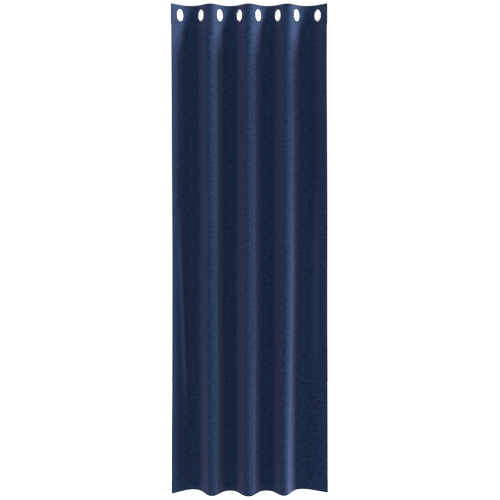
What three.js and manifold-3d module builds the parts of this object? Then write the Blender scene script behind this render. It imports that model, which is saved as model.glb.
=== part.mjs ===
// Eyelet curtain: one velvet panel hanging in waves, under a doubled heading that holds eight eyelets.
// Millimetres. +X runs along the rod to the right, -Y faces the room and +Z is up. The origin is the
// middle of the top edge, straight above the rod's line.
import * as THREE from "three";
import { mergeVertices } from "three/addons/utils/BufferGeometryUtils.js";
import Module from "manifold-3d";

const wasm = await Module();
wasm.setup();

// The cloth as it is cut and hemmed.
const clothWidth = 1400;
const clothLength = 2600;
const headingHeight = 110;
const clothThickness = 2;
const headingThickness = 3;
const hemThickness = 3.2;
const sideHemWidth = 25;
const bottomHemHeight = 70;
const hemStep = 1.5;
const pieceGap = 0.3;

// The eyelets: a front flange with a barrel, and a ring that snaps onto the barrel from behind.
const eyeletCount = 8;
const eyeletMargin = 80.5;
const eyeletDrop = 55;
const eyeletHoleRadius = 20;
const eyeletBarrelWall = 1.5;
const eyeletFlangeRadius = 32;
const eyeletFlangeHeight = 3.4;
const eyeletRimHeight = 1.2;
const clothHoleRadius = 22.3;
const punchLength = 30;
const roundSegments = 24;

// The folds at three levels, from the left edge to the right edge. Eight half waves run between nine folds,
// the first and last of which are the free edges. `cloth` is the cloth in each half wave, `width` the width
// that it hangs in, and `bend` the radius of each fold between the edges. The side hems turn outwards by
// `edgeTurn` degrees, and the left edge hangs at `edgeX`, `edgeY`.
const levels = [
  {
    drop: headingHeight,
    cloth: [169, 177, 177, 177, 177, 177, 177, 169],
    width: [97, 104.3, 100.9, 100.9, 101.1, 101, 103.9, 100.8],
    bend: [42, 22, 35, 21, 35, 21, 42],
    edgeTurn: [12, 22],
    edgeX: -405.4,
    edgeY: -69.5,
  },
  {
    drop: 1300,
    cloth: [160, 186, 174, 179, 179, 172, 188, 162],
    width: [100, 104, 98.5, 100, 99.5, 99.5, 103, 113.5],
    bend: [41, 24, 34, 24, 35, 22, 42],
    edgeTurn: [14, 17],
    edgeX: -405,
    edgeY: -52,
  },
  {
    drop: clothLength,
    cloth: [149, 198, 168, 179, 181, 164, 203, 158],
    width: [110.5, 104.5, 96, 98, 98, 92.5, 102.5, 134.5],
    bend: [41, 23, 34, 24, 35, 20, 44],
    edgeTurn: [15, 12],
    edgeX: -413.5,
    edgeY: -17,
  },
];
const panelRows = 14;
const foldSegments = 4;
const flankSegments = 2;
const hemSegments = 2;

const velvet = new THREE.MeshStandardMaterial({ color: 0x2b3a60, roughness: 0.9, metalness: 0 });
const headingVelvet = new THREE.MeshStandardMaterial({ color: 0x32446e, roughness: 0.9, metalness: 0 });
const satinSilver = new THREE.MeshStandardMaterial({ color: 0xd4d4d2, roughness: 0.35, metalness: 0.9 });

const curtain = new THREE.Group();

function addPiece(name, geometry, material, parent = curtain) {
  const mesh = new THREE.Mesh(geometry, material);
  mesh.name = name;
  parent.add(mesh);
}

function lerp(a, b, t) {
  return a + (b - a) * t;
}

// The folds at any drop below the top edge: straight down through the heading, then easing between levels.
function foldsAt(drop) {
  const next = levels.findIndex((level) => level.drop >= drop);
  if (next === 0) return levels[0];
  const [upper, lower] = [levels[next - 1], levels[next]];
  const t = THREE.MathUtils.smoothstep(drop, upper.drop, lower.drop);
  const mixed = {};
  for (const [key, value] of Object.entries(upper)) {
    mixed[key] = Array.isArray(value)
      ? value.map((number, i) => lerp(number, lower[key][i], t))
      : lerp(value, lower[key], t);
  }
  return mixed;
}

// A half wave turns from its first fold into a straight flank and out of it into the next fold. This finds
// the flank's angle to the rod that makes its cloth fit its width. Each end has a radius and an angle.
function solveHalfWave(cloth, width, start, end) {
  let low = 0;
  let high = Math.PI * 0.55;
  let wave;
  for (let step = 0; step < 40; step++) {
    const angle = (low + high) / 2;
    const startAngle = start.turn === undefined ? 0 : angle - start.turn;
    const endAngle = end.turn === undefined ? 0 : angle - end.turn;
    const straight = cloth - start.radius * (angle - startAngle) - end.radius * (angle - endAngle);
    const across =
      start.radius * (Math.sin(angle) - Math.sin(startAngle)) +
      straight * Math.cos(angle) +
      end.radius * (Math.sin(angle) - Math.sin(endAngle));
    wave = { angle, startAngle, endAngle, straight, startRadius: start.radius, endRadius: end.radius };
    if (across > width) low = angle;
    else high = angle;
  }
  return wave;
}

// Where a half wave is after a length of its cloth: x along the rod, depth from its start, and its angle.
function pointOnWave(wave, length) {
  const { angle, startAngle, endAngle, straight, startRadius, endRadius } = wave;
  const bent = Math.min(length, startRadius * (angle - startAngle));
  const turned = startRadius > 0 ? startAngle + bent / startRadius : angle;
  let x = startRadius * (Math.sin(turned) - Math.sin(startAngle));
  let depth = startRadius * (Math.cos(startAngle) - Math.cos(turned));
  if (length <= bent) return { x, depth, angle: turned };
  const run = Math.min(length - bent, straight);
  x += run * Math.cos(angle);
  depth += run * Math.sin(angle);
  if (length <= bent + run) return { x, depth, angle };
  const last = Math.max(angle - (length - bent - run) / endRadius, endAngle);
  x += endRadius * (Math.sin(angle) - Math.sin(last));
  depth += endRadius * (Math.cos(last) - Math.cos(angle));
  return { x, depth, angle: last };
}

// The eight half waves at one drop, each with its start point and the side that it runs to: 1 back, -1 front.
function wavesAt(drop) {
  const folds = foldsAt(drop);
  const [leftTurn, rightTurn] = folds.edgeTurn.map(THREE.MathUtils.degToRad);
  const ends = [
    { radius: sideHemWidth / leftTurn, turn: leftTurn },
    ...folds.bend.map((radius) => ({ radius })),
    { radius: sideHemWidth / rightTurn, turn: rightTurn },
  ];
  const waves = [];
  let x = folds.edgeX;
  let y = folds.edgeY;
  let cloth = 0;
  folds.cloth.forEach((length, i) => {
    const wave = solveHalfWave(length, folds.width[i], ends[i], ends[i + 1]);
    const side = i % 2 === 0 ? 1 : -1;
    waves.push({ ...wave, length, side, x, y, cloth });
    const finish = pointOnWave(wave, length);
    x += finish.x;
    y += side * finish.depth;
    cloth += length;
  });
  return waves;
}

function pointOnCloth(wave, length) {
  const { x, depth, angle } = pointOnWave(wave, length);
  return {
    cloth: wave.cloth + length,
    x: wave.x + x,
    y: wave.y + wave.side * depth,
    angle: wave.side * angle,
  };
}

// Even steps between the given lengths: one count for each stretch between them.
function stepsBetween(lengths, counts) {
  const steps = [];
  counts.forEach((count, i) => {
    for (let k = 0; k < count; k++) steps.push(lerp(lengths[i], lengths[i + 1], k / count));
  });
  return steps;
}

// The points of one row of cloth, closer together where it bends, with a pair at each side hem's step.
function rowAt(drop) {
  const waves = wavesAt(drop);
  const row = [];
  waves.forEach((wave, i) => {
    const bentStart = wave.startRadius * (wave.angle - wave.startAngle);
    const bentEnd = wave.length - wave.endRadius * (wave.angle - wave.endAngle);
    let lengths = [0, bentStart, bentEnd, wave.length];
    let counts = [foldSegments, flankSegments, foldSegments];
    if (i === 0) {
      lengths = [0, sideHemWidth, sideHemWidth + hemStep, bentEnd, wave.length];
      counts = [hemSegments, 1, flankSegments, foldSegments];
    }
    if (i === waves.length - 1) {
      lengths = [0, bentStart, wave.length - sideHemWidth - hemStep, wave.length - sideHemWidth, wave.length];
      counts = [foldSegments, flankSegments, 1, hemSegments];
    }
    for (const length of stepsBetween(lengths, counts)) row.push(pointOnCloth(wave, length));
  });
  const last = waves.at(-1);
  row.push(pointOnCloth(last, last.length));
  return row;
}

// A closed sheet from rows of points: the front face lies half of `thickness` in front of them, and the back
// face is set back so that the sheet is as thick as `thicknessAt` says at each point.
function sheetGeometry(drops, thickness, thicknessAt) {
  const rows = drops.map(rowAt);
  const columns = rows[0].length;
  const positions = [];
  rows.forEach((row, r) => {
    for (const point of row) {
      const normal = [Math.sin(point.angle), -Math.cos(point.angle)];
      const front = thickness / 2;
      const back = front - thicknessAt(point.cloth, drops[r]);
      for (const offset of [front, back]) {
        positions.push(point.x + normal[0] * offset, point.y + normal[1] * offset, -drops[r]);
      }
    }
  });
  const vertex = (r, c, face) => 2 * (r * columns + c) + face;
  const triangles = [];
  const quad = (a, b, c, d) => triangles.push(a, b, c, a, c, d);
  for (let r = 0; r + 1 < rows.length; r++) {
    for (let c = 0; c + 1 < columns; c++) {
      quad(vertex(r, c, 0), vertex(r + 1, c, 0), vertex(r + 1, c + 1, 0), vertex(r, c + 1, 0));
      quad(vertex(r, c, 1), vertex(r, c + 1, 1), vertex(r + 1, c + 1, 1), vertex(r + 1, c, 1));
    }
    quad(vertex(r, 0, 0), vertex(r, 0, 1), vertex(r + 1, 0, 1), vertex(r + 1, 0, 0));
    const end = columns - 1;
    quad(vertex(r, end, 0), vertex(r + 1, end, 0), vertex(r + 1, end, 1), vertex(r, end, 1));
  }
  const bottom = rows.length - 1;
  for (let c = 0; c + 1 < columns; c++) {
    quad(vertex(0, c, 0), vertex(0, c + 1, 0), vertex(0, c + 1, 1), vertex(0, c, 1));
    quad(vertex(bottom, c, 0), vertex(bottom, c, 1), vertex(bottom, c + 1, 1), vertex(bottom, c + 1, 0));
  }
  const geometry = new THREE.BufferGeometry();
  geometry.setAttribute("position", new THREE.Float32BufferAttribute(positions, 3));
  geometry.setIndex(triangles);
  return geometry;
}

function toManifold(geometry) {
  const bare = geometry.clone();
  bare.deleteAttribute("normal");
  bare.deleteAttribute("uv");
  const merged = mergeVertices(bare, 1e-3);
  return new wasm.Manifold(
    new wasm.Mesh({
      numProp: 3,
      vertProperties: merged.attributes.position.array,
      triVerts: new Uint32Array(merged.index.array),
    }),
  );
}

function fromManifold(solid) {
  const mesh = solid.getMesh();
  const geometry = new THREE.BufferGeometry();
  geometry.setAttribute("position", new THREE.BufferAttribute(mesh.vertProperties, 3));
  geometry.setIndex(new THREE.BufferAttribute(mesh.triVerts, 1));
  return geometry;
}

// Each eyelet's place on the heading: evenly spaced along the cloth, on the straight flank of a half wave.
function eyeletPlaces() {
  const waves = wavesAt(0);
  const pitch = (clothWidth - 2 * eyeletMargin) / (eyeletCount - 1);
  return waves.map((wave, i) => pointOnCloth(wave, eyeletMargin + i * pitch - wave.cloth));
}

// Turns a shape made about +Z so that +Z points out of the front of the cloth at an eyelet.
function placeAtEyelet(object, place) {
  object.position.set(place.x, place.y, -eyeletDrop);
  object.rotation.set(Math.PI / 2, 0, place.angle, "ZYX");
  return object;
}

function lathe(profile) {
  const points = profile.map(([radius, height]) => new THREE.Vector2(radius, height));
  return new THREE.LatheGeometry([...points, points[0]], roundSegments).rotateX(Math.PI / 2);
}

function makePanel() {
  const top = headingHeight + pieceGap;
  const hemTop = clothLength - bottomHemHeight;
  const drops = [];
  for (let r = 0; r <= panelRows; r++) drops.push(lerp(top, hemTop - hemStep, r / panelRows));
  drops.push(hemTop, (hemTop + clothLength) / 2, clothLength);
  const thicknessAt = (cloth, drop) => {
    const inSideHem = Math.min(cloth, clothWidth - cloth) < sideHemWidth + hemStep / 2;
    const inBottomHem = drop > hemTop - hemStep / 2;
    return inSideHem || inBottomHem ? hemThickness : clothThickness;
  };
  return sheetGeometry(drops, clothThickness, thicknessAt);
}

function makeHeading(places) {
  const strip = sheetGeometry([0, headingHeight], headingThickness, () => headingThickness);
  let solid = toManifold(strip);
  for (const place of places) {
    const punch = new THREE.CylinderGeometry(clothHoleRadius, clothHoleRadius, punchLength, roundSegments);
    const seat = placeAtEyelet(new THREE.Object3D(), place);
    seat.updateMatrix();
    solid = solid.subtract(toManifold(punch.rotateX(Math.PI / 2).applyMatrix4(seat.matrix)));
  }
  return fromManifold(solid);
}

const flangeBase = headingThickness / 2 + pieceGap;
const barrelRadius = eyeletHoleRadius + eyeletBarrelWall;
const backHoleRadius = barrelRadius + pieceGap;
const flangeTop = flangeBase + eyeletFlangeHeight;
const flangeRim = flangeBase + eyeletRimHeight;
const crownInnerRadius = lerp(barrelRadius, eyeletFlangeRadius, 0.25);
const crownOuterRadius = lerp(barrelRadius, eyeletFlangeRadius, 0.7);

function makeEyeletFront() {
  return lathe([
    [eyeletHoleRadius, -flangeTop],
    [barrelRadius, -flangeTop],
    [barrelRadius, flangeBase],
    [eyeletFlangeRadius, flangeBase],
    [eyeletFlangeRadius, flangeRim],
    [crownOuterRadius, flangeTop],
    [crownInnerRadius, flangeTop],
    [eyeletHoleRadius, flangeRim],
  ]);
}

function makeEyeletBack() {
  return lathe([
    [backHoleRadius, -flangeTop],
    [crownOuterRadius, -flangeTop],
    [eyeletFlangeRadius, -flangeRim],
    [eyeletFlangeRadius, -flangeBase],
    [backHoleRadius, -flangeBase],
  ]);
}

const places = eyeletPlaces();
addPiece("panel", makePanel(), velvet);
addPiece("heading", makeHeading(places), headingVelvet);
places.forEach((place, i) => {
  const eyelet = new THREE.Group();
  curtain.add(placeAtEyelet(eyelet, place));
  addPiece(`eyelet_front_${i + 1}`, makeEyeletFront(), satinSilver, eyelet);
  addPiece(`eyelet_back_${i + 1}`, makeEyeletBack(), satinSilver, eyelet);
});

export default curtain;
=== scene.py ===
import math

import bpy
from mathutils import Matrix, Vector, noise


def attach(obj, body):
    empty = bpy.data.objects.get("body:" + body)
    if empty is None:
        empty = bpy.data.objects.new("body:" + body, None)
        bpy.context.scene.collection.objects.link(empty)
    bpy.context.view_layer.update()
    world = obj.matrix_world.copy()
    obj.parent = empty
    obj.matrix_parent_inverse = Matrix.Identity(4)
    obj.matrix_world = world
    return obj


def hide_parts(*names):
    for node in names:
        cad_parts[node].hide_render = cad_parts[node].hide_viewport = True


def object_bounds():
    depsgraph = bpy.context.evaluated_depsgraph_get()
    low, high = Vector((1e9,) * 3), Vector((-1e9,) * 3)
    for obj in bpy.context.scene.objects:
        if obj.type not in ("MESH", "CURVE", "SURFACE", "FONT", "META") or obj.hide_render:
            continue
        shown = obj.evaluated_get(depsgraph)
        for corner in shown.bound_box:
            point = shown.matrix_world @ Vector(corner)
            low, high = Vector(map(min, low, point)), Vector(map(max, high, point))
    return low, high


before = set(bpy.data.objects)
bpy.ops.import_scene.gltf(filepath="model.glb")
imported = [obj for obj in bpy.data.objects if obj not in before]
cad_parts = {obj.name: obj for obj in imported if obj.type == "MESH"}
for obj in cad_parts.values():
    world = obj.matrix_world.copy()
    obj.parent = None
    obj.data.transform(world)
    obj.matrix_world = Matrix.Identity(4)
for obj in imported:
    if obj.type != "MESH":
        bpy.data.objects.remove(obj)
cadLow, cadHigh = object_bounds()  # the box of the solids
mm = 0.001
near = 0.01 * mm  # vertices are found by their place to within this
topEdge = cadHigh.z
print("frame loaded:", len(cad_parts), "nodes")


# How the cloth hangs, in millimetres, as its solid has it: eight half waves run between nine folds, and the
# outer two folds are the free edges. cloth is what lies in each half wave, width what it hangs in, and bend
# the radius of each fold between them.
hang = {
    "clothWidth": 1400,
    "clothDrop": 2600,
    "edgeBend": 25,  # the cloth beside a free edge that turns outwards
    "soften": (9, 21),  # how far the front and the back folds are evened out along the cloth
    "deepen": 1.055,  # what that takes from their depth, given back
    "setBack": 2,
    "steepest": 0.55 * math.pi,  # of a flank
    "solveSteps": 40,
    "levels": [
        {
            "drop": 110,
            "cloth": [169, 177, 177, 177, 177, 177, 177, 169],
            "width": [97, 104.3, 100.9, 100.9, 101.1, 101, 103.9, 100.8],
            "bend": [42, 22, 35, 21, 35, 21, 42],
            "edgeTurn": [12, 22],
            "edgeX": -405.4,
            "edgeY": -69.5,
        },
        {
            "drop": 1300,
            "cloth": [160, 186, 174, 179, 179, 172, 188, 162],
            "width": [100, 104, 98.5, 100, 99.5, 99.5, 103, 113.5],
            "bend": [41, 24, 34, 24, 35, 22, 42],
            "edgeTurn": [14, 17],
            "edgeX": -405,
            "edgeY": -52,
        },
        {
            "drop": 2600,
            "cloth": [149, 198, 168, 179, 181, 164, 203, 158],
            "width": [110.5, 104.5, 96, 98, 98, 92.5, 102.5, 134.5],
            "bend": [41, 23, 34, 24, 35, 20, 44],
            "edgeTurn": [15, 12],
            "edgeX": -413.5,
            "edgeY": -17,
        },
    ],
}


def mix(a, b, t):
    return a + (b - a) * t


def ease(value, low, high):
    t = min(max((value - low) / (high - low), 0), 1)
    return t * t * (3 - 2 * t)


def foldsAt(drop):
    levels = hang["levels"]
    upper, lower = levels[0], levels[0]
    for above, below in zip(levels, levels[1:]):
        if drop > above["drop"]:
            upper, lower = above, below
    if upper is lower:
        return upper
    t = ease(drop, upper["drop"], lower["drop"])
    blended = {}
    for key, value in upper.items():
        if isinstance(value, list):
            blended[key] = [mix(a, b, t) for a, b in zip(value, lower[key])]
        else:
            blended[key] = mix(value, lower[key], t)
    return blended


def solveHalfWave(cloth, width, start, end):  # finds the flank's angle that makes the cloth fit the width
    low, high = 0, hang["steepest"]
    for step in range(hang["solveSteps"]):
        angle = (low + high) / 2
        first = 0 if start["turn"] is None else angle - start["turn"]
        last = 0 if end["turn"] is None else angle - end["turn"]
        straight = cloth - start["radius"] * (angle - first) - end["radius"] * (angle - last)
        across = (
            start["radius"] * (math.sin(angle) - math.sin(first))
            + straight * math.cos(angle)
            + end["radius"] * (math.sin(angle) - math.sin(last))
        )
        if across > width:
            low = angle
        else:
            high = angle
    return {
        "angle": angle, "first": first, "last": last, "straight": straight,
        "startRadius": start["radius"], "endRadius": end["radius"],
    }


def alongHalfWave(wave, length):  # x along the rod, depth and angle after a length of its cloth
    angle = wave["angle"]
    bent = min(length, wave["startRadius"] * (angle - wave["first"]))
    turned = wave["first"] + bent / wave["startRadius"]
    x = wave["startRadius"] * (math.sin(turned) - math.sin(wave["first"]))
    depth = wave["startRadius"] * (math.cos(wave["first"]) - math.cos(turned))
    if length <= bent:
        return x, depth, turned
    run = min(length - bent, wave["straight"])
    x += run * math.cos(angle)
    depth += run * math.sin(angle)
    if length <= bent + run:
        return x, depth, angle
    last = max(angle - (length - bent - run) / wave["endRadius"], wave["last"])
    x += wave["endRadius"] * (math.sin(angle) - math.sin(last))
    depth += wave["endRadius"] * (math.cos(last) - math.cos(angle))
    return x, depth, last


knownWaves = {}


def wavesAt(drop):
    key = round(drop, 3)
    if key in knownWaves:
        return knownWaves[key]
    folds = foldsAt(drop)
    leftTurn, rightTurn = [math.radians(turn) for turn in folds["edgeTurn"]]
    ends = [{"radius": hang["edgeBend"] / leftTurn, "turn": leftTurn}]
    ends += [{"radius": radius, "turn": None} for radius in folds["bend"]]
    ends += [{"radius": hang["edgeBend"] / rightTurn, "turn": rightTurn}]
    waves = []
    x, y, start = folds["edgeX"], folds["edgeY"], 0
    for i, (cloth, width) in enumerate(zip(folds["cloth"], folds["width"])):
        wave = solveHalfWave(cloth, width, ends[i], ends[i + 1])
        side = 1 if i % 2 == 0 else -1  # runs to the back, or to the front
        wave.update({"side": side, "x": x, "y": y, "start": start, "length": cloth})
        waves.append(wave)
        endX, endDepth = alongHalfWave(wave, cloth)[:2]
        x += endX
        y += side * endDepth
        start += cloth
    knownWaves[key] = waves
    return waves


def halfWaveAt(across, drop):
    waves = wavesAt(drop)
    found = waves[0]
    for wave in waves[1:]:
        if across > wave["start"]:
            found = wave
    return found


def evenPlace(across, drop):  # a place on the even folds, carried straight on past a free edge
    wave = halfWaveAt(across, drop)
    length = min(max(across - wave["start"], 0), wave["length"])
    x, depth, angle = alongHalfWave(wave, length)
    past = across - wave["start"] - length
    angle *= wave["side"]
    return (
        wave["x"] + x + past * math.cos(angle),
        wave["y"] + wave["side"] * depth + past * math.sin(angle),
        math.cos(angle),
        math.sin(angle),
    )


def hangPlace(across, drop):  # x, y and angle to the rod, with the folds run softly into the flanks
    wave = halfWaveAt(across, drop)
    share = ease(across, wave["start"], wave["start"] + wave["length"])
    stride = mix(*hang["soften"], share if wave["side"] > 0 else 1 - share)
    sums = [0, 0, 0, 0]
    for step in (-2, -1, 0, 1, 2):
        weight = (3 - abs(step)) / 9
        place = evenPlace(across + step * stride, drop)
        sums = [total + weight * value for total, value in zip(sums, place)]
    x, y, alongX, alongY = sums
    return x, y * hang["deepen"] + hang["setBack"], math.atan2(alongY * hang["deepen"], alongX)


# The velvet: one cloth, cut flat and turned over at its sides, foot and heading.
curtainCloth = {  # millimetres
    "thickness": 1.0,
    "pileFace": 1.2,  # how far the pile face stands before the fold line
    "turnRadius": 1.1,  # of a hem's turned edge
    "sideHem": 25,
    "bottomHem": 70,
    "heading": 110,
    "cornerStep": 2.25,  # how much further back a layer lies over a side hem
    "hemEase": (4, 8),  # the layer eases down from this far inside the hem's end to this far past it
    "seamInset": 3,  # the stitch line, in from the turned layer's end
    "nip": 0.45,  # how deep the stitches draw the cloth in
    "nipWidth": 4,
    "holeRadius": 25,  # the cloth is cut back under the eyelet's flange
    "seamPucker": {
        "size": 16, "layer": 5.7, "hem": 0.35, "hemReach": 5, "heading": 0.2, "headingReach": 4,
    },
    "rows": [  # from, to and how many steps, close together round the seams and the folded edges
        (-110, -4, 24), (-3.45, 0, 4), (0, 99, 22), (99, 108, 4), (108, 2505, 136), (2505, 2531, 3),
        (2531, 2542, 5), (2542, 2600, 8), (2600, 2603.45, 4), (2604, 2670, 8),
    ],
    "columns": [
        (-25, -4, 4), (-3.45, 0, 4), (0, 14, 3), (14, 23, 4), (23, 1377, 176), (1377, 1386, 4),
        (1386, 1400, 3), (1400, 1403.45, 4), (1404, 1425, 4),
    ],
    "softFolds": [  # across at the heading, the middle and the hem; from, to; height; half width
        {"across": [40, 60, 136], "from": 950, "to": 2330, "rise": 6, "half": 15},
        {"across": [1330, 1318, 1308], "from": 850, "to": 2200, "rise": 2.4, "half": 30},
        {"across": [250, 262, 268], "from": 600, "to": 2100, "rise": 1.0, "half": 14},
        {"across": [612, 604, 596], "from": 900, "to": 2560, "rise": 1.1, "half": 15},
        {"across": [965, 972, 980], "from": 500, "to": 1900, "rise": 1.0, "half": 14},
    ],
    "softFoldSides": (1.3, 0.75),  # its half width towards the left and the right edge, as shares of half
    "softFoldEnd": 500,  # over which it dies away, up and down
    "fullPaintedLightRise": 6,  # the rise of a soft fold that gets the full painted highlight along its ridge
    "paintedLightMarks": [  # painted highlights on the pile, or painted shade where its value is below 0
        {"across": [14, 14, 14], "from": -500, "to": 380, "paintedLevel": 0.35, "half": 24},
        {"across": [404, 404, 404], "from": -500, "to": 330, "paintedLevel": 0.5, "half": 18},
        {"across": [1110, 1110, 1110], "from": -500, "to": 330, "paintedLevel": 0.5, "half": 18},
        {"across": [8, 8, 20], "from": 1600, "to": 3600, "paintedLevel": 0.35, "half": 32},
        {"across": [371, 371, 372], "from": 100, "to": 3600, "paintedLevel": -0.25, "half": 16},
        {"across": [733, 732, 727], "from": 50, "to": 3600, "paintedLevel": -0.7, "half": 16},
        {"across": [1086, 1081, 1073], "from": 100, "to": 3600, "paintedLevel": -0.5, "half": 15},
    ],
    "unevenness": [  # height, width and length of its swells, and where in the noise they lie
        {"height": 3.0, "wide": 260, "long": 700, "layer": 3.1},
        {"height": 0.7, "wide": 70, "long": 420, "layer": 8.4},
    ],
    "evenTo": 120,  # the heading holds the cloth even as far as this
    "freeFrom": 620,  # and it hangs freely below this
    "holeRim": 0.6,  # a cut-out's rim is anything further out than this share of its radius
    "smoothAngle": 50,
}
eyeletPlan = {"count": 8, "margin": 80.5, "drop": 55}


def stepsOf(stretches):
    steps = []
    for start, end, count in stretches:
        for k in range(count + 1):
            step = mix(start, end, k / count)
            if not steps or step > steps[-1] + 0.01:
                steps.append(step)
    return steps


def turnedOver(beyond, radius):  # a place past a folded edge: how far in from the edge, and how far back
    if beyond <= 0:
        return 0, 0
    arc = math.pi * radius
    if beyond < arc:
        return -radius * math.sin(beyond / radius), radius * (1 - math.cos(beyond / radius))
    return beyond - arc, 2 * radius


def eyeletAcross(number):
    pitch = (hang["clothWidth"] - 2 * eyeletPlan["margin"]) / (eyeletPlan["count"] - 1)
    return eyeletPlan["margin"] + number * pitch


def drawnIn(distance):
    return math.exp(-((distance / curtainCloth["nipWidth"]) ** 2))


def seamLine(hem):  # how far a hem's stitches lie from its folded edge
    return hem - math.pi * curtainCloth["turnRadius"] - curtainCloth["seamInset"]


def seamPull(across, drop):  # 1 on a stitch line, 0 away from it
    pull = drawnIn(drop - seamLine(curtainCloth["heading"]))
    pull = max(pull, drawnIn(hang["clothDrop"] - drop - seamLine(curtainCloth["bottomHem"])))
    for edge in (across, hang["clothWidth"] - across):
        pull = max(pull, drawnIn(edge - seamLine(curtainCloth["sideHem"])))
    return pull


def softFoldAt(fold, across, drop):  # 1 on a soft fold's ridge, 0 away from it
    top, middle, low = fold["across"]
    t = drop / hang["clothDrop"]
    centre = mix(top, middle, t * 2) if t < 0.5 else mix(middle, low, t * 2 - 1)
    left, right = curtainCloth["softFoldSides"]
    half = fold["half"] * (left if across < centre else right)
    end = curtainCloth["softFoldEnd"]
    reach = ease(drop, fold["from"], fold["from"] + end) * (1 - ease(drop, fold["to"] - end, fold["to"]))
    return reach * math.exp(-(((across - centre) / half) ** 2))


def pileMottleAndPaintedLight(across, drop):  # painted highlight along the soft folds' ridges and the marks, or painted shade where it is below 0
    paintedLight = 0
    for fold in curtainCloth["softFolds"]:
        paintedLight += fold["rise"] / curtainCloth["fullPaintedLightRise"] * softFoldAt(fold, across, drop)
    for mark in curtainCloth["paintedLightMarks"]:
        paintedLight += mark["paintedLevel"] * softFoldAt(mark, across, drop)
    return min(max(paintedLight, -1), 1)


def unevenness(across, drop):  # how far the cloth stands out of its even fold, growing below the heading
    cloth, pucker = curtainCloth, curtainCloth["seamPucker"]
    free = ease(drop, cloth["evenTo"], cloth["freeFrom"])
    height = 0
    for swell in cloth["unevenness"]:
        place = Vector((across / swell["wide"], drop / swell["long"], swell["layer"]))
        height += noise.noise(place) * swell["height"] * free
    height += sum(fold["rise"] * softFoldAt(fold, across, drop) for fold in cloth["softFolds"])
    puckered = noise.noise(Vector((across / pucker["size"], drop / pucker["size"], pucker["layer"])))
    fromHem = drop - hang["clothDrop"] + cloth["bottomHem"]
    height += pucker["hem"] * puckered * drawnIn(fromHem / pucker["hemReach"])
    height += pucker["heading"] * puckered * drawnIn((drop - cloth["heading"]) / pucker["headingReach"])
    return height


def clothPoint(across, drop):  # where a point of the flat cut hangs, in metres
    cloth = curtainCloth
    width, length, radius = hang["clothWidth"], hang["clothDrop"], cloth["turnRadius"]
    sideIn, sideBack = turnedOver(max(-across, across - width), radius)
    endIn, endBack = turnedOver(max(-drop, drop - length), radius)
    left, top = across < width / 2, drop < length / 2
    if across < 0 or across > width:
        onAcross = max(sideIn, 0) if left else width - max(sideIn, 0)
    else:
        onAcross = across
    if drop < 0 or drop > length:
        onDrop = max(endIn, 0) if top else length - max(endIn, 0)
    else:
        onDrop = drop
    inside, outside = cloth["hemEase"]
    overHem = 1 - ease(min(onAcross, width - onAcross), cloth["sideHem"] - inside, cloth["sideHem"] + outside)
    share = endBack / (2 * radius)
    back = mix(sideBack, 2 * radius + overHem * cloth["cornerStep"] - sideBack, share)
    pull = seamPull(onAcross, onDrop) * cloth["nip"]
    back += pull if back < radius else -pull
    x, y, angle = hangPlace(onAcross, onDrop)
    front = cloth["pileFace"] + unevenness(onAcross, onDrop) - back
    past = -min(sideIn, 0) * (-1 if left else 1)  # the bulge of the turned side edge
    z = -onDrop + min(endIn, 0) * (-1 if top else 1)
    x += math.sin(angle) * front + math.cos(angle) * past
    y += -math.cos(angle) * front + math.sin(angle) * past
    return Vector((x * mm, y * mm, topEdge + z * mm))


def deselectAll():
    bpy.ops.object.select_all(action="DESELECT")


def selectVertices(piece, wanted):  # in edit mode, by place
    bpy.ops.mesh.select_mode(type="VERT")
    bpy.ops.mesh.select_all(action="DESELECT")
    bpy.ops.object.mode_set(mode="OBJECT")
    for vertex in piece.data.vertices:
        vertex.select = wanted(vertex.co)
    bpy.ops.object.mode_set(mode="EDIT")
    bpy.ops.mesh.select_mode(type="VERT")


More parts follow.
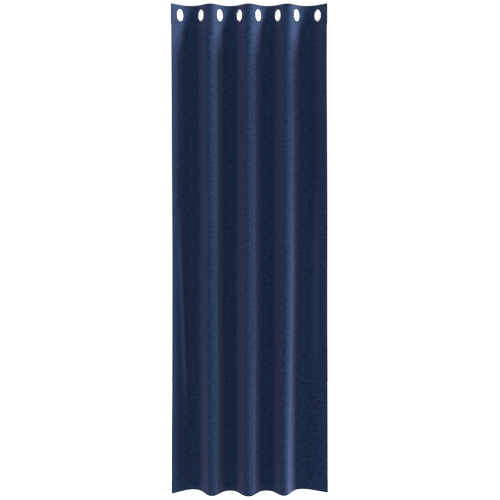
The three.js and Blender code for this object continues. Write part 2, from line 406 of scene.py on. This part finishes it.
def makeCurtainCloth():
    cloth = curtainCloth
    rows, columns = stepsOf(cloth["rows"]), stepsOf(cloth["columns"])
    deselectAll()
    bpy.ops.mesh.primitive_grid_add(x_subdivisions=len(columns) - 1, y_subdivisions=len(rows) - 1, size=1)
    piece = bpy.context.object
    piece.name = piece.data.name = "curtain_cloth"
    mesh = piece.data
    flat = [(columns[i % len(columns)], rows[i // len(columns)]) for i in range(len(mesh.vertices))]
    holes = []
    for number in range(eyeletPlan["count"]):
        for side in (1, -1):
            holes.append(Vector((eyeletAcross(number), side * eyeletPlan["drop"])))
    radius = cloth["holeRadius"]

    def nearestHole(place):
        return min(holes, key=lambda hole: (place - hole).length)

    for face in mesh.polygons:  # the cut-outs that the eyelets go through, in both layers of the heading
        middle = sum((Vector(flat[v]) for v in face.vertices), Vector((0, 0))) / len(face.vertices)
        face.select = (middle - nearestHole(middle)).length < radius
    for vertex in mesh.vertices:
        vertex.select = False
    for edge in mesh.edges:
        edge.select = False
    rim = set()
    for face in mesh.polygons:
        if face.select:
            rim.update(face.vertices)
    for v in rim:  # the cut-outs' rims are drawn onto a circle
        place = Vector(flat[v])
        hole = nearestHole(place)
        if (place - hole).length > radius * cloth["holeRim"]:
            flat[v] = tuple(hole + (place - hole).normalized() * radius)
    uv = mesh.uv_layers[0]
    uv.name = "cloth"
    for loop in mesh.loops:
        across, drop = flat[loop.vertex_index]
        uv.data[loop.index].uv = (across * mm, -drop * mm)
    # painted highlight and shade, stored for the velvet's colour
    paintedLight = mesh.attributes.new("paintedLight", "FLOAT", "POINT")
    for vertex, (across, drop) in zip(mesh.vertices, flat):
        vertex.co = clothPoint(across, drop)
        paintedLight.data[vertex.index].value = pileMottleAndPaintedLight(across, drop)
    bpy.ops.object.mode_set(mode="EDIT")
    bpy.ops.mesh.select_mode(type="FACE")
    bpy.ops.mesh.delete(type="FACE")
    bpy.ops.mesh.select_all(action="SELECT")
    bpy.ops.object.mode_set(mode="OBJECT")
    middle = mesh.polygons[len(mesh.polygons) // 2]
    if middle.normal.y > 0:  # the pile face looks into the room
        mesh.flip_normals()
    mesh.materials.append(makeVelvet())
    mesh.materials.append(makeReverse())
    thickness = piece.modifiers.new("thickness", "SOLIDIFY")
    thickness.thickness = cloth["thickness"] * mm
    thickness.offset = -1
    thickness.material_offset = 1
    thickness.material_offset_rim = 1
    bpy.ops.object.modifier_apply(modifier="thickness")
    bpy.ops.object.shade_smooth_by_angle(angle=math.radians(cloth["smoothAngle"]))
    print("curtain cloth:", len(mesh.polygons), "faces")
    return piece


# The stitching, along every hem and the heading.
stitching = {  # millimetres
    "pitch": 5,
    "length": 2.4,
    "end": 0.6,  # of the taper at each end
    "radius": 0.38,
    "sides": 6,
    "pinch": 0.4,  # how thin a stitch's ends are drawn
    "height": 0.1,  # above the pile face
    "start": 21,  # of the cross rows, in from the side edges
    "gap": 6,  # between the side rows and the cross rows
    "probe": 0.4,  # the step that finds which way the cloth faces
}


def clothFrame(across, drop, along):  # a place on the pile face, the seam's way and the way out of the cloth
    probe = stitching["probe"]
    sideways = clothPoint(across + probe, drop) - clothPoint(across - probe, drop)
    down = clothPoint(across, drop + probe) - clothPoint(across, drop - probe)
    out = down.cross(sideways).normalized()
    way = (sideways if along == "across" else down).normalized()
    place = Matrix((way, out.cross(way), out)).transposed().to_4x4()
    place.translation = clothPoint(across, drop) + out * stitching["height"] * mm
    return place


def makeStitchTemplate():
    part = stitching
    deselectAll()
    bpy.ops.mesh.primitive_cylinder_add(
        vertices=part["sides"], radius=part["radius"] * mm, depth=part["length"] * mm,
        rotation=(0, math.pi / 2, 0),
    )
    piece = bpy.context.object
    piece.name = piece.data.name = "stitch"
    bpy.ops.object.transform_apply(location=False, rotation=True, scale=False)
    half = part["length"] / 2 * mm
    for way in (1, -1):  # its two ends taper into the cloth
        bpy.ops.object.mode_set(mode="EDIT")
        selectVertices(piece, lambda co: co.x * way > half - near)
        bpy.ops.mesh.extrude_region_move(
            TRANSFORM_OT_translate={"value": (way * part["end"] * mm, 0, -part["radius"] * mm)}
        )
        bpy.ops.transform.resize(value=(1, part["pinch"], part["pinch"]))
        bpy.ops.object.mode_set(mode="OBJECT")
    bpy.ops.object.mode_set(mode="EDIT")
    bpy.ops.mesh.select_all(action="SELECT")
    bpy.ops.mesh.normals_make_consistent(inside=False)
    bpy.ops.object.mode_set(mode="OBJECT")
    return piece


def sewRow(template, start, end):  # a row of stitches from one flat place to another
    across = start[1] == end[1]
    length = abs(end[0] - start[0]) if across else abs(end[1] - start[1])
    count = int(length / stitching["pitch"])
    row = template.copy()
    row.data = template.data.copy()
    row.name = "stitch_row"
    bpy.context.collection.objects.link(row)
    deselectAll()
    bpy.context.view_layer.objects.active = row
    repeat = row.modifiers.new("repeat", "ARRAY")
    repeat.use_relative_offset = False
    repeat.use_constant_offset = True
    repeat.constant_offset_displace = (stitching["pitch"] * mm, 0, 0)
    repeat.count = count
    size = len(template.data.vertices)
    bpy.ops.object.modifier_apply(modifier="repeat")
    frames = []
    for k in range(count):
        t = (k + 0.5) / count
        place = (mix(start[0], end[0], t), mix(start[1], end[1], t))
        frames.append(clothFrame(*place, "across" if across else "down"))
    for i, vertex in enumerate(row.data.vertices):
        k = i // size
        vertex.co = frames[k] @ (vertex.co - Vector((k * stitching["pitch"] * mm, 0, 0)))
    return row


def makeStitches():
    width, length = hang["clothWidth"], hang["clothDrop"]
    arc = math.pi * curtainCloth["turnRadius"]
    side, top, low = [seamLine(curtainCloth[hem]) for hem in ("sideHem", "heading", "bottomHem")]
    inner, gap = stitching["start"], stitching["gap"]
    template = makeStitchTemplate()
    rows = []
    for drop in (top, -top - arc, length - low, length + low + arc):  # the face, then the turned layer
        rows.append(sewRow(template, (inner, drop), (width - inner, drop)))
    for across in (side, -side - arc, width - side, width + side + arc):
        rows.append(sewRow(template, (across, top + gap), (across, length - low - gap)))
    bpy.data.objects.remove(template)
    deselectAll()
    for row in rows:
        row.select_set(True)
    bpy.context.view_layer.objects.active = rows[0]
    bpy.ops.object.join()
    piece = bpy.context.object
    piece.name = piece.data.name = "seam_stitches"
    piece.data.materials.append(makeThread())
    bpy.ops.object.shade_smooth_by_angle(angle=math.radians(curtainCloth["smoothAngle"]))
    print("stitches:", len(piece.data.polygons), "faces")
    return piece


# The eyelets: a domed ring with its barrel in front, and a snap ring behind.
eyelet = {  # millimetres, about the middle of the cloth's own thickness
    "holeRadius": 20,
    "flangeRadius": 31.1,
    "wall": 1.3,
    "frontBase": 1.2,
    "frontRise": 3.4,
    "backBase": 1.55,
    "backRise": 2.8,
    "backHoleRadius": 21.7,
    "barrelEnd": -5.0,
    "lip": 0.5,  # the straight edge under the dome
    "turns": 64,
    "tube": 20,
    "smoothAngle": 40,
}


def addDome(name, inner, outer, rise):  # the upper half of a flattened ring, open below, at height 0
    deselectAll()
    bpy.ops.mesh.primitive_torus_add(
        major_radius=(inner + outer) / 2 * mm, minor_radius=(outer - inner) / 2 * mm,
        major_segments=eyelet["turns"], minor_segments=eyelet["tube"],
    )
    piece = bpy.context.object
    piece.name = piece.data.name = name
    bpy.ops.object.mode_set(mode="EDIT")
    bpy.ops.mesh.select_all(action="SELECT")
    bpy.ops.transform.resize(value=(1, 1, rise / ((outer - inner) / 2)))
    bpy.ops.mesh.bisect(plane_co=(0, 0, 0), plane_no=(0, 0, 1), clear_inner=True, threshold=near)
    return piece


def ringRadius(co):
    return math.hypot(co.x, co.y) / mm


def extrudeTo(height=0, scale=1):
    bpy.ops.mesh.extrude_region_move(TRANSFORM_OT_translate={"value": (0, 0, height * mm)})
    bpy.ops.transform.resize(value=(scale, scale, 1), center_override=(0, 0, 0))


def closeEyelet(piece):
    bpy.ops.mesh.select_all(action="SELECT")
    bpy.ops.mesh.remove_doubles(threshold=near / 2)
    bpy.ops.mesh.normals_make_consistent(inside=False)
    bpy.ops.object.mode_set(mode="OBJECT")
    bpy.ops.object.shade_smooth_by_angle(angle=math.radians(eyelet["smoothAngle"]))
    piece.data.materials.append(bpy.data.materials["satinSilver"])
    return piece


def makeEyeletFront():
    part = eyelet
    hole, flange, wall = part["holeRadius"], part["flangeRadius"], part["wall"]
    piece = addDome("eyelet_front", hole, flange, part["frontRise"])
    base, middle = part["lip"], (hole + flange) / 2
    selectVertices(piece, lambda co: co.z < near and ringRadius(co) > middle)
    extrudeTo(-base)
    selectVertices(piece, lambda co: abs(co.z) < near and ringRadius(co) < middle)
    depth = part["frontBase"] + base - part["barrelEnd"]
    extrudeTo(-depth)  # the barrel's inner wall
    extrudeTo(0, (hole + wall) / hole)  # its end
    extrudeTo(depth - base)  # its outer wall, up to the cloth
    bpy.ops.object.mode_set(mode="OBJECT")
    bpy.ops.object.mode_set(mode="EDIT")
    selectVertices(piece, lambda co: abs(co.z + base * mm) < near and ringRadius(co) > hole + wall / 2)
    bpy.ops.mesh.select_mode(type="EDGE")
    bpy.ops.mesh.bridge_edge_loops()
    bpy.ops.mesh.select_all(action="SELECT")
    bpy.ops.transform.translate(value=(0, 0, (part["frontBase"] + base) * mm))
    return closeEyelet(piece)


def makeEyeletBack():
    part = eyelet
    piece = addDome("eyelet_back", part["backHoleRadius"], part["flangeRadius"], part["backRise"])
    selectVertices(piece, lambda co: co.z < near)
    extrudeTo(-part["lip"])
    bpy.ops.mesh.select_mode(type="EDGE")
    bpy.ops.mesh.bridge_edge_loops()
    bpy.ops.mesh.select_all(action="SELECT")
    bpy.ops.transform.translate(value=(0, 0, (part["backBase"] + part["lip"]) * mm))
    bpy.ops.transform.mirror(constraint_axis=(False, False, True), center_override=(0, 0, 0))
    return closeEyelet(piece)


def setEyelet(template, number):  # a copy with its own mesh, moved onto the heading
    across = eyeletAcross(number)
    x, y, angle = hangPlace(across, eyeletPlan["drop"])
    outward = Vector((math.sin(angle), -math.cos(angle), 0))
    along = Vector((math.cos(angle), math.sin(angle), 0))
    turn = Matrix((along, Vector((0, 0, 1)), outward)).transposed().to_4x4()
    centre = Vector((x * mm, y * mm, topEdge - eyeletPlan["drop"] * mm))
    piece = template.copy()
    piece.data = template.data.copy()
    piece.name = piece.data.name = f"ring_{template.name}_{number + 1}"
    bpy.context.collection.objects.link(piece)
    piece.data.transform(Matrix.Translation(centre) @ turn)
    return piece


# The materials.
velvetLook = {
    "deep": (0.0018, 0.0050, 0.0150),
    "raised": (0.0152, 0.0306, 0.0775),
    "paintedLight": (0.0220, 0.0400, 0.0820),  # the painted highlight's colour, along soft fold ridges and the lighter marks
    "sheen": 0.15,
    "sheenTint": (0.62, 0.52, 1.0),
    "sheenRoughness": 0.42,
    "specular": 0.04,
    "mottleSize": 15,  # millimetres, of the patches that a hand leaves in the pile
    "speckleSize": 5,
    "stretch": 1.9,  # how much wider than tall they are
    "paintedShade": 0.55,  # how much darker the painted shade makes the pile, round each eyelet, along the folded edges and on the marks below 0
    "paintedShadeRing": (33.5, 39),  # from an eyelet's middle
    "paintedShadeEdge": (2.5, 7),  # from a folded edge
    "roughness": (0.8, 0.95),
    "bump": (0.5, 0.6),  # its strength, and its height in millimetres
}
reverseLook = {
    "deep": (0.0055, 0.0095, 0.026),
    "raised": (0.020, 0.030, 0.068),
    "threads": 1.3,  # millimetres from thread to thread
    "slubs": 7,
    "patches": 60,  # to a metre
    "stretch": 1.5,
    "distortion": 1.2,  # of the threads
    "distortionScale": 0.4,
    "weaveShare": 0.7,
    "slubShare": 0.4,
    "roughness": 0.85,
    "specular": 0.15,
    "bump": (0.6, 0.3),  # its strength, and its height in millimetres
}
threadLook = {
    "deep": (0.006, 0.012, 0.034),
    "raised": (0.016, 0.030, 0.075),
    "scales": {"Patch Scale": 300, "Speckle Scale": 2500, "Stretch": 1},
    "roughness": 0.55,
    "specular": 0.25,
    "bump": (0.4, 0.1),
}
metalLook = {
    "colour": (0.86, 0.86, 0.85),
    "worn": (0.76, 0.76, 0.75),
    "scales": {"Patch Scale": 120, "Speckle Scale": 2200, "Stretch": 1},
    "metal": 0.3,
    "roughness": (0.30, 0.42),
    "bump": (0.35, 0.04),
}


def newMaterial(name):
    material = bpy.data.materials.new(name)
    material.use_nodes = True
    nodes = material.node_tree.nodes
    return material, nodes, material.node_tree.links, nodes["Principled BSDF"]


def makeMottleGroup():  # patches and speckle of brushed pile, from flat cloth coordinates in metres
    group = bpy.data.node_groups.new("pileMottleAndPaintedLight", "ShaderNodeTree")
    group.interface.new_socket("Cloth", in_out="INPUT", socket_type="NodeSocketVector")
    for name, value in (("Patch Scale", 70), ("Speckle Scale", 400), ("Stretch", 2)):
        group.interface.new_socket(name, in_out="INPUT", socket_type="NodeSocketFloat").default_value = value
    for name in ("Patches", "Speckle", "Height"):
        group.interface.new_socket(name, in_out="OUTPUT", socket_type="NodeSocketFloat")
    nodes, links = group.nodes, group.links
    start, end = nodes.new("NodeGroupInput"), nodes.new("NodeGroupOutput")
    split, joined = nodes.new("ShaderNodeSeparateXYZ"), nodes.new("ShaderNodeCombineXYZ")
    wider = nodes.new("ShaderNodeMath")
    wider.operation = "DIVIDE"
    links.new(start.outputs["Cloth"], split.inputs[0])
    links.new(split.outputs["X"], wider.inputs[0])
    links.new(start.outputs["Stretch"], wider.inputs[1])
    links.new(wider.outputs[0], joined.inputs["X"])
    links.new(split.outputs["Y"], joined.inputs["Y"])
    links.new(split.outputs["Z"], joined.inputs["Z"])
    found = {}
    kinds = (("Patches", "Patch Scale", 3, 0.6), ("Speckle", "Speckle Scale", 2, 0.7))
    for name, scale, detail, roughness in kinds:
        texture = nodes.new("ShaderNodeTexNoise")
        texture.inputs["Detail"].default_value = detail
        texture.inputs["Roughness"].default_value = roughness
        links.new(joined.outputs[0], texture.inputs["Vector"])
        links.new(start.outputs[scale], texture.inputs["Scale"])
        spread = nodes.new("ShaderNodeMapRange")
        spread.inputs["From Min"].default_value = 0.3
        spread.inputs["From Max"].default_value = 0.7
        links.new(texture.outputs["Fac"], spread.inputs["Value"])
        links.new(spread.outputs["Result"], end.inputs[name])
        found[name] = spread
    height = nodes.new("ShaderNodeMath")
    height.operation = "MULTIPLY_ADD"
    height.inputs[1].default_value = 0.6
    links.new(found["Patches"].outputs["Result"], height.inputs[0])
    links.new(found["Speckle"].outputs["Result"], height.inputs[2])
    links.new(height.outputs[0], end.inputs["Height"])
    return group


def colourBetween(nodes, links, factor, low, high):
    blend = nodes.new("ShaderNodeMix")
    blend.data_type = "RGBA"
    if isinstance(low, tuple):
        blend.inputs["A"].default_value = (*low, 1)
    else:
        links.new(low, blend.inputs["A"])
    blend.inputs["B"].default_value = (*high, 1)
    links.new(factor, blend.inputs["Factor"])
    return blend.outputs["Result"]


def addMottle(nodes, links, scales, coordinates="cloth"):
    pile = nodes.new("ShaderNodeGroup")
    pile.node_tree = bpy.data.node_groups["pileMottleAndPaintedLight"]
    if coordinates == "cloth":
        place = nodes.new("ShaderNodeUVMap")
        place.uv_map = "cloth"
        links.new(place.outputs["UV"], pile.inputs["Cloth"])
    else:
        place = nodes.new("ShaderNodeTexCoord")
        links.new(place.outputs["Object"], pile.inputs["Cloth"])
    for name, value in scales.items():
        pile.inputs[name].default_value = value
    return pile


def addBump(nodes, links, height, shader, look):
    bump = nodes.new("ShaderNodeBump")
    bump.inputs["Strength"].default_value = look["bump"][0]
    bump.inputs["Distance"].default_value = look["bump"][1] * mm
    links.new(height, bump.inputs["Height"])
    links.new(bump.outputs["Normal"], shader.inputs["Normal"])


def addRoughness(nodes, links, mask, shader, look):  # rougher where the mask is 1
    rough = nodes.new("ShaderNodeMapRange")
    rough.inputs["To Min"].default_value, rough.inputs["To Max"].default_value = look["roughness"]
    links.new(mask, rough.inputs["Value"])
    links.new(rough.outputs["Result"], shader.inputs["Roughness"])


def calculate(nodes, links, operation, *values):
    node = nodes.new("ShaderNodeMath")
    node.operation = operation
    for socket, value in zip(node.inputs, values):
        if isinstance(value, (int, float)):
            socket.default_value = value
        else:
            links.new(value, socket)
    return node.outputs[0]


def addPaintedShade(nodes, links):  # 1 where shade is painted round each eyelet and along the folded edges, 0 elsewhere, from the flat cloth's coordinates
    def step(operation, *values):
        return calculate(nodes, links, operation, *values)

    look = velvetLook
    place, split = nodes.new("ShaderNodeUVMap"), nodes.new("ShaderNodeSeparateXYZ")
    place.uv_map = "cloth"
    links.new(place.outputs["UV"], split.inputs[0])
    across, height = split.outputs["X"], split.outputs["Y"]
    pitch = (eyeletAcross(1) - eyeletAcross(0)) * mm
    turns = step("DIVIDE", step("SUBTRACT", across, eyeletAcross(0) * mm), pitch)
    turns = step("FRACT", step("ADD", turns, 0.5))
    aside = step("MULTIPLY", step("SUBTRACT", turns, 0.5), pitch)
    fromTop = step("ABSOLUTE", height)
    down = step("SUBTRACT", fromTop, eyeletPlan["drop"] * mm)
    fromEyelet = step("SQRT", step("ADD", step("MULTIPLY", aside, aside), step("MULTIPLY", down, down)))
    fromLeft = step("ABSOLUTE", across)
    fromRight = step("ABSOLUTE", step("SUBTRACT", across, hang["clothWidth"] * mm))
    fromFoot = step("ABSOLUTE", step("ADD", height, hang["clothDrop"] * mm))
    fromEdge = step("MINIMUM", step("MINIMUM", fromLeft, fromRight), step("MINIMUM", fromTop, fromFoot))
    masks = []
    for distance, reach in ((fromEyelet, look["paintedShadeRing"]), (fromEdge, look["paintedShadeEdge"])):
        fade = nodes.new("ShaderNodeMapRange")
        fade.interpolation_type = "SMOOTHSTEP"
        fade.inputs["From Min"].default_value = reach[0] * mm
        fade.inputs["From Max"].default_value = reach[1] * mm
        fade.inputs["To Min"].default_value = 1
        fade.inputs["To Max"].default_value = 0
        links.new(distance, fade.inputs["Value"])
        masks.append(fade.outputs["Result"])
    return step("MAXIMUM", *masks)


def makeVelvet():
    look = velvetLook
    material, nodes, links, shader = newMaterial("navyVelvet")
    pile = addMottle(nodes, links, {
        "Patch Scale": 1 / (look["mottleSize"] * mm), "Speckle Scale": 1 / (look["speckleSize"] * mm),
        "Stretch": look["stretch"],
    })
    share = calculate(nodes, links, "ADD", pile.outputs["Speckle"], pile.outputs["Patches"])
    share = calculate(nodes, links, "MULTIPLY", share, 0.5)
    # painted highlight from the stored values, lighter along the soft fold ridges and the marks
    paintedLight = nodes.new("ShaderNodeAttribute")
    paintedLight.attribute_name = "paintedLight"
    paintedFoldShade = calculate(nodes, links, "MULTIPLY", paintedLight.outputs["Fac"], -1)
    # painted shade round the eyelets, along the folded edges, and where the stored value is below 0
    paintedShade = calculate(nodes, links, "MAXIMUM", addPaintedShade(nodes, links), paintedFoldShade)
    paintedShade = calculate(nodes, links, "MULTIPLY", paintedShade, look["paintedShade"])
    left = calculate(nodes, links, "SUBTRACT", 1, paintedShade)
    colour = colourBetween(nodes, links, share, look["deep"], look["raised"])
    colour = colourBetween(nodes, links, paintedLight.outputs["Fac"], colour, look["paintedLight"])
    darker = nodes.new("ShaderNodeVectorMath")
    darker.operation = "SCALE"
    links.new(colour, darker.inputs[0])
    links.new(left, darker.inputs["Scale"])
    links.new(darker.outputs[0], shader.inputs["Base Color"])
    addRoughness(nodes, links, pile.outputs["Speckle"], shader, look)
    addBump(nodes, links, pile.outputs["Height"], shader, look)
    shader.inputs["Specular IOR Level"].default_value = look["specular"]
    shader.inputs["Sheen Weight"].default_value = look["sheen"]
    shader.inputs["Sheen Roughness"].default_value = look["sheenRoughness"]
    shader.inputs["Sheen Tint"].default_value = (*look["sheenTint"], 1)
    return material


def makeReverse():  # the woven ground of the velvet, with a little pile showing through
    look = reverseLook
    material, nodes, links, shader = newMaterial("velvetReverse")
    pile = addMottle(nodes, links, {
        "Patch Scale": look["patches"], "Speckle Scale": 1 / (look["slubs"] * mm), "Stretch": look["stretch"],
    })
    place = nodes.new("ShaderNodeUVMap")
    place.uv_map = "cloth"
    threads = []
    for direction in ("X", "Y"):
        wave = nodes.new("ShaderNodeTexWave")
        wave.bands_direction = direction
        wave.inputs["Scale"].default_value = math.pi / 10 / (look["threads"] * mm)
        wave.inputs["Distortion"].default_value = look["distortion"]
        wave.inputs["Detail"].default_value = 1
        wave.inputs["Detail Scale"].default_value = look["distortionScale"]
        links.new(place.outputs["UV"], wave.inputs["Vector"])
        threads.append(wave.outputs["Fac"])
    weave = calculate(nodes, links, "MULTIPLY", *threads)
    slubs = calculate(nodes, links, "MULTIPLY", pile.outputs["Speckle"], look["slubShare"])
    share = calculate(nodes, links, "MULTIPLY_ADD", weave, look["weaveShare"], slubs)
    colour = colourBetween(nodes, links, share, look["deep"], look["raised"])
    links.new(colour, shader.inputs["Base Color"])
    addBump(nodes, links, weave, shader, look)
    shader.inputs["Roughness"].default_value = look["roughness"]
    shader.inputs["Specular IOR Level"].default_value = look["specular"]
    return material


def makeThread():
    look = threadLook
    material, nodes, links, shader = newMaterial("navyThread")
    ply = addMottle(nodes, links, look["scales"], "object")
    colour = colourBetween(nodes, links, ply.outputs["Speckle"], look["deep"], look["raised"])
    links.new(colour, shader.inputs["Base Color"])
    addBump(nodes, links, ply.outputs["Speckle"], shader, look)
    shader.inputs["Roughness"].default_value = look["roughness"]
    shader.inputs["Specular IOR Level"].default_value = look["specular"]
    return material


def makeMetal():
    look = metalLook
    material, nodes, links, shader = newMaterial("satinSilver")
    grain = addMottle(nodes, links, look["scales"], "object")
    colour = colourBetween(nodes, links, grain.outputs["Patches"], look["worn"], look["colour"])
    links.new(colour, shader.inputs["Base Color"])
    addRoughness(nodes, links, grain.outputs["Speckle"], shader, look)
    addBump(nodes, links, grain.outputs["Speckle"], shader, look)
    shader.inputs["Metallic"].default_value = look["metal"]
    return material


# The pieces, each with the solids that it stands for.
makeMottleGroup()
makeMetal()
curtain = makeCurtainCloth()
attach(curtain, "root")
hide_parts("panel", "heading")

stitches = makeStitches()
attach(stitches, "root")

for template, node in ((makeEyeletFront(), "eyelet_front"), (makeEyeletBack(), "eyelet_back")):
    for number in range(eyeletPlan["count"]):
        ring = setEyelet(template, number)
        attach(ring, "root")
        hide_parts(f"{node}_{number + 1}")
    bpy.data.objects.remove(template)


# The room, its light and where it is seen from.
room = {  # metres, and degrees from straight ahead and up
    "floorGap": 0.35,
    "floorSize": 12,
    "floorColour": (0.32, 0.32, 0.315),
    "floorRoughness": 0.9,
    "world": 1.65,  # what the room gives as light
    "backdrop": 1.05,  # what shows behind the curtain
    "keyTurn": 84,
    "keyHeight": 55,
    "keyDistance": 4,
    "keyStrength": 13.5,
    "keySoftness": 20,
    "keyColour": (0.86, 1.0, 0.97),
}
view = {  # metres, degrees and millimetres of lens
    "aside": 0.0043,
    "away": 7.76,
    "belowTop": 0.77,
    "pitchDown": 3.844,
    "lens": 105.3,
    "sensor": 36,
    "farthest": 60,
}


def lookAlong(piece, target):
    direction = Vector(target) - piece.location
    piece.rotation_euler = direction.to_track_quat("-Z", "Y").to_euler()


def makeFloor():
    deselectAll()
    bpy.ops.mesh.primitive_plane_add(size=room["floorSize"], location=(0, 0, cadLow.z - room["floorGap"]))
    floor = bpy.context.object
    floor.name = "floor"
    material, nodes, links, shader = newMaterial("paleFloor")
    shader.inputs["Base Color"].default_value = (*room["floorColour"], 1)
    shader.inputs["Roughness"].default_value = room["floorRoughness"]
    floor.data.materials.append(material)


def makeLights():
    world = bpy.data.worlds.new("paleRoom")
    bpy.context.scene.world = world
    world.use_nodes = True
    nodes, links = world.node_tree.nodes, world.node_tree.links
    background = nodes["Background"]
    background.inputs["Color"].default_value = (1, 1, 1, 1)
    seen, path = nodes.new("ShaderNodeMapRange"), nodes.new("ShaderNodeLightPath")
    seen.inputs["To Min"].default_value = room["world"]
    seen.inputs["To Max"].default_value = room["backdrop"]
    links.new(path.outputs["Is Camera Ray"], seen.inputs["Value"])
    links.new(seen.outputs["Result"], background.inputs["Strength"])
    turn, height = math.radians(room["keyTurn"]), math.radians(room["keyHeight"])
    way = Vector((math.sin(turn) * math.cos(height), -math.cos(turn) * math.cos(height), math.sin(height)))
    bpy.ops.object.light_add(type="SUN", location=way * room["keyDistance"])
    key = bpy.context.object
    key.name = "keyLight"
    key.data.energy = room["keyStrength"]
    key.data.color = room["keyColour"]
    key.data.angle = math.radians(room["keySoftness"])
    lookAlong(key, (0, 0, 0))


def makeCamera():
    bpy.ops.object.camera_add(location=(view["aside"], -view["away"], topEdge - view["belowTop"]))
    camera = bpy.context.object
    camera.rotation_euler = (math.radians(90 - view["pitchDown"]), 0, 0)
    camera.data.lens = view["lens"]
    camera.data.sensor_width = view["sensor"]
    camera.data.clip_end = view["farthest"]
    bpy.context.scene.camera = camera


makeFloor()
makeLights()
makeCamera()
bpy.context.scene.view_settings.view_transform = "Standard"
print("room, lights and camera ready")
